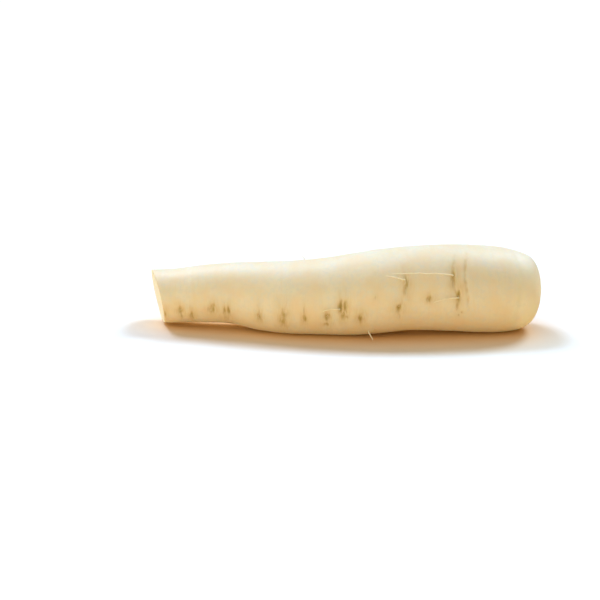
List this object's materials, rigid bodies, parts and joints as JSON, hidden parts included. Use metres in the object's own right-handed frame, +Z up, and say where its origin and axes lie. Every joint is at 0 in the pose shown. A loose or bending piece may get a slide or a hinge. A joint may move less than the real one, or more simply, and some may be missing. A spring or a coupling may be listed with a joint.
{
  "type": "daikon radish",
  "caption": "Long white daikon radish root lying on its side, leaves trimmed off at the crown and tail cut away, with fine side roots on its skin.",
  "frame": {"origin": "on the surface that the root rests on, under the middle of the whole part", "axes": "+X along the root from the cut tail to the crown, +Z up, -Y towards the side that shows the row of root scars"},
  "size_m": [0.2823, 0.073, 0.0638],
  "materials": {
    "skin": "smooth, slightly moist ivory vegetable skin with brown root scars; pale translucent flesh at the cut tail",
    "side_root": "dry cream-coloured root thread"
  },
  "bodies": {
    "root": {"taproot": "skin", "rootlet_long": "side_root", "rootlet_side": "side_root", "rootlet_upper": "side_root", "rootlet_arched": "side_root", "rootlet_low": "side_root", "rootlet_top": "side_root", "rootlet_back_long": "side_root", "rootlet_back_short": "side_root", "rootlet_back_tail": "side_root"}
  },
  "joints": []
}
